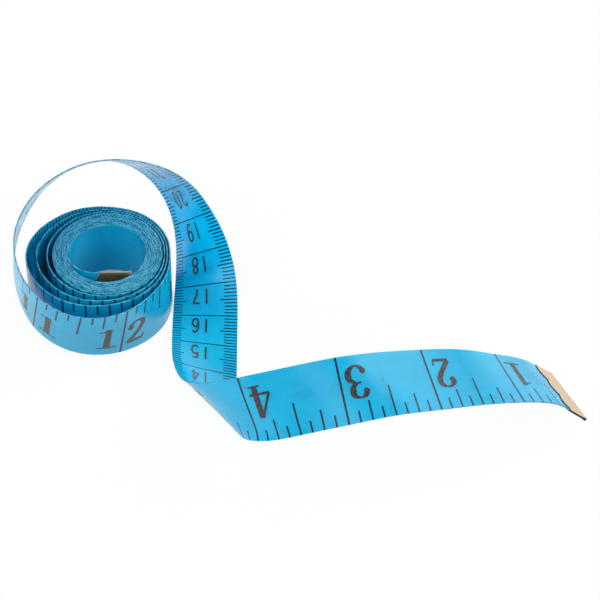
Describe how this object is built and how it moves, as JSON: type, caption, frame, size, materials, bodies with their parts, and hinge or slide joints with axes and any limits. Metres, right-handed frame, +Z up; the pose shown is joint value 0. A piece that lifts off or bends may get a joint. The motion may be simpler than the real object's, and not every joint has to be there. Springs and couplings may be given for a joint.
{
  "type": "cloth tape measure",
  "caption": "Loosely coiled blue cloth tape measure with a raised loop, a soft fold and an arched free run that ends in a folded metal clip.",
  "frame": {"origin": "middle of the outline on the floor that the coil stands on", "axes": "+Z up along the coil's axis, +X along the free run from the coil towards the free end, +Y from the fold towards the back of the loop"},
  "size_m": [0.1512, 0.0974, 0.0355],
  "materials": {
    "tape": "satin coated cloth",
    "free_clip": "pale plated",
    "inner_clip": "dull"
  },
  "bodies": {
    "coil_core": {"wound_pack": "tape", "inner_end": "tape", "inner_end_clip": "inner_clip"},
    "loose_coil": {"loose_turns": "tape", "rising_loop": "tape", "lying_stretch": "tape"},
    "run_base": {"run_base": "tape"},
    "run_middle": {"run_middle": "tape"},
    "run_outer": {"run_outer": "tape"},
    "run_end": {"run_end": "tape", "free_end_clip": "free_clip"}
  },
  "joints": [
    {"name": "core_turn", "type": "hinge", "parent": "coil_core", "child": "loose_coil", "pos_m": [-0.04992, 0.01708, 0.009], "axis": [0, 0, 1], "range_deg": [-20, 20]},
    {"name": "fold_open", "type": "hinge", "parent": "loose_coil", "child": "run_base", "pos_m": [-0.02209, -0.02862, 0.0105], "axis": [0.5873, -0.8035, 0.0976], "range_deg": [0, 35], "stiffness_Nm_per_rad": 0.009},
    {"name": "bend_three_inch", "type": "hinge", "parent": "run_base", "child": "run_middle", "pos_m": [0.01116, -0.04099, 0.03128], "axis": [0.269, -0.8517, -0.4498], "range_deg": [0, 40], "stiffness_Nm_per_rad": 0.009},
    {"name": "bend_two_inch", "type": "hinge", "parent": "run_middle", "child": "run_outer", "pos_m": [0.03399, -0.03349, 0.02675], "axis": [0.3028, -0.9363, -0.1779], "range_deg": [0, 40], "stiffness_Nm_per_rad": 0.009},
    {"name": "bend_one_inch", "type": "hinge", "parent": "run_outer", "child": "run_end", "pos_m": [0.05467, -0.02493, 0.0169], "axis": [0.4125, -0.91, 0.0426], "range_deg": [0, 40], "stiffness_Nm_per_rad": 0.009}
  ]
}
